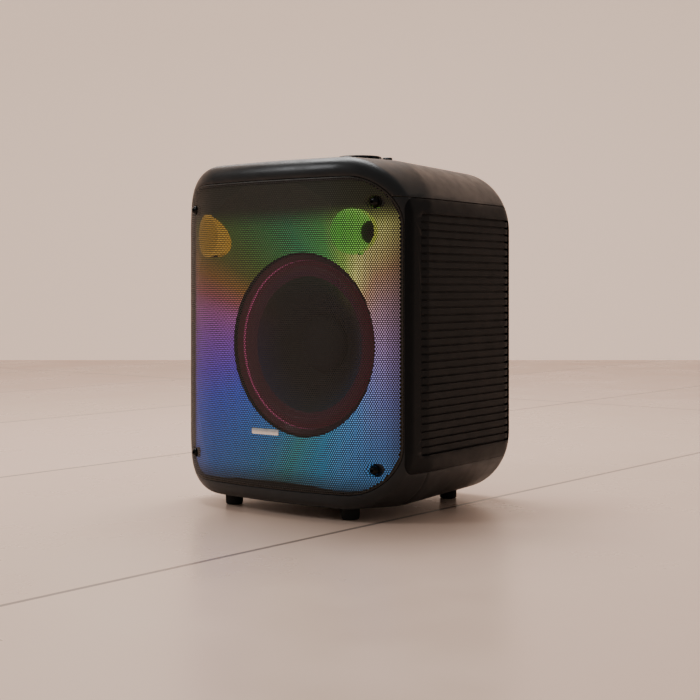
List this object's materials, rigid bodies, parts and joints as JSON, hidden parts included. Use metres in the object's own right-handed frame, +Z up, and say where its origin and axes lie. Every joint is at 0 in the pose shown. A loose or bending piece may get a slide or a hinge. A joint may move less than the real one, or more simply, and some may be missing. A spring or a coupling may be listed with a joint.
{
  "type": "party speaker",
  "caption": "Upright portable loudspeaker: barrel-curved perforated grille over a lit dish and its drivers, slatted side panels, top control deck, rear sockets.",
  "frame": {"origin": "on the floor under the middle of the object's box", "axes": "+X to the right seen from the front, -Y is the front (grille) side, +Z up"},
  "size_m": [0.309, 0.266, 0.3865],
  "materials": {
    "cabinet_plastic": "fine spark-eroded black moulded plastic",
    "cover_plastic": "smooth satin black moulded plastic",
    "panel_plastic": "slatted satin black plastic",
    "rear_plastic": "grained black plastic",
    "grille_steel": "black powder-coated perforated steel",
    "bolt_steel": "black oxide steel",
    "badge_metal": "brushed, blank",
    "foot_rubber": "matt",
    "baffle_board": "black",
    "diffuser": "milky, lit from behind",
    "ring_clear": "tinted light guide",
    "circuit_board": "green solder mask",
    "basket_steel": "black stoved steel",
    "rubber_surround": "half-roll rubber",
    "spider_cloth": "resin-dipped cotton",
    "cone_paper": "coated pulp paper",
    "coil_copper": "enamelled copper on a former",
    "plate_steel": "zinc-plated",
    "magnet_ferrite": "ferrite",
    "horn_plastic": "milky plastic horn",
    "dome_film": "dark film dome",
    "tray_plastic": "black",
    "battery_sleeve": "blue shrink sleeve",
    "sink_aluminium": "extruded",
    "jack_plastic": "black",
    "socket_steel": "nickel-plated",
    "deck_plastic": "gloss black",
    "knob_plastic": "satin black",
    "button_rubber": "satin"
  },
  "bodies": {
    "cabinet": {"amplifier_board": "circuit_board", "aux_socket": "jack_plastic", "badge": "badge_metal", "battery_pack": "battery_sleeve", "battery_tray": "tray_plastic", "cabinet_shell": "cabinet_plastic", "control_board": "circuit_board", "control_deck": "deck_plastic", "encoder": "socket_steel", "foot_screws": "bolt_steel", "front_baffle": "baffle_board", "front_bezel": "cabinet_plastic", "grille": "grille_steel", "grille_screws": "bolt_steel", "heat_sink": "sink_aluminium", "io_board": "circuit_board", "io_panel": "rear_plastic", "led_board": "circuit_board", "light_diffuser": "diffuser", "microphone_jacks": "jack_plastic", "port_tube": "rear_plastic", "power_inlet": "jack_plastic", "power_supply_board": "circuit_board", "rear_panel": "rear_plastic", "rear_pots": "socket_steel", "rear_screws": "bolt_steel", "rubber_feet": "foot_rubber", "side_panel_left": "panel_plastic", "side_panel_right": "panel_plastic", "switch_frame": "jack_plastic", "top_cover": "cover_plastic", "tweeter_housing_left": "horn_plastic", "tweeter_housing_right": "horn_plastic", "tweeter_magnet_left": "magnet_ferrite", "tweeter_magnet_right": "magnet_ferrite", "tweeter_screws": "bolt_steel", "usb_socket": "socket_steel", "woofer_basket": "basket_steel", "woofer_magnet": "magnet_ferrite", "woofer_screws": "bolt_steel", "woofer_spider": "spider_cloth", "woofer_surround": "rubber_surround", "woofer_top_plate": "plate_steel", "woofer_trim_ring": "ring_clear", "woofer_yoke": "plate_steel"},
    "cone": {"woofer_cone": "cone_paper", "woofer_dust_cap": "cone_paper", "voice_coil": "coil_copper"},
    "left_dome": {"tweeter_diaphragm_left": "dome_film"},
    "right_dome": {"tweeter_diaphragm_right": "dome_film"},
    "volume": {"volume_knob": "knob_plastic", "encoder_shaft": "socket_steel"},
    "mic_knob": {"mic_volume_knob": "knob_plastic"},
    "echo": {"echo_knob": "knob_plastic"},
    "rocker": {"switch_rocker": "button_rubber"},
    "power_key": {"button_power": "button_rubber"},
    "bluetooth_key": {"button_bluetooth": "button_rubber"},
    "light_key": {"button_light": "button_rubber"},
    "bass_key": {"button_bass": "button_rubber"},
    "play_key": {"button_play": "button_rubber"}
  },
  "joints": [
    {"name": "cone_travel", "type": "slide", "parent": "cabinet", "child": "cone", "axis": [0, -1, 0], "range_m": [-0.005, 0.005], "stiffness_N_per_m": 1500},
    {"name": "left_dome_travel", "type": "slide", "parent": "cabinet", "child": "left_dome", "axis": [0, -1, 0], "range_m": [-0.0003, 0.0003], "stiffness_N_per_m": 1500},
    {"name": "right_dome_travel", "type": "slide", "parent": "cabinet", "child": "right_dome", "axis": [0, -1, 0], "range_m": [-0.0003, 0.0003], "stiffness_N_per_m": 1500},
    {"name": "volume_turn", "type": "hinge", "parent": "cabinet", "child": "volume", "pos_m": [0, 0.029, 0.3835], "axis": [0, 0, 1], "continuous": true},
    {"name": "mic_volume_turn", "type": "hinge", "parent": "cabinet", "child": "mic_knob", "pos_m": [0.012, 0.125, 0.108], "axis": [0, 1, 0], "range_deg": [-140, 140]},
    {"name": "echo_turn", "type": "hinge", "parent": "cabinet", "child": "echo", "pos_m": [0.032, 0.125, 0.108], "axis": [0, 1, 0], "range_deg": [-140, 140]},
    {"name": "switch_rock", "type": "hinge", "parent": "cabinet", "child": "rocker", "pos_m": [0.056, 0.121, 0.119], "axis": [0, 0, 1], "range_deg": [0, 16]},
    {"name": "power_press", "type": "slide", "parent": "cabinet", "child": "power_key", "axis": [0, 0, -1], "range_m": [0, 0.001], "stiffness_N_per_m": 800},
    {"name": "bluetooth_press", "type": "slide", "parent": "cabinet", "child": "bluetooth_key", "axis": [0, 0, -1], "range_m": [0, 0.001], "stiffness_N_per_m": 800},
    {"name": "light_press", "type": "slide", "parent": "cabinet", "child": "light_key", "axis": [0, 0, -1], "range_m": [0, 0.001], "stiffness_N_per_m": 800},
    {"name": "bass_press", "type": "slide", "parent": "cabinet", "child": "bass_key", "axis": [0, 0, -1], "range_m": [0, 0.001], "stiffness_N_per_m": 800},
    {"name": "play_press", "type": "slide", "parent": "cabinet", "child": "play_key", "axis": [0, 0, -1], "range_m": [0, 0.001], "stiffness_N_per_m": 800}
  ]
}
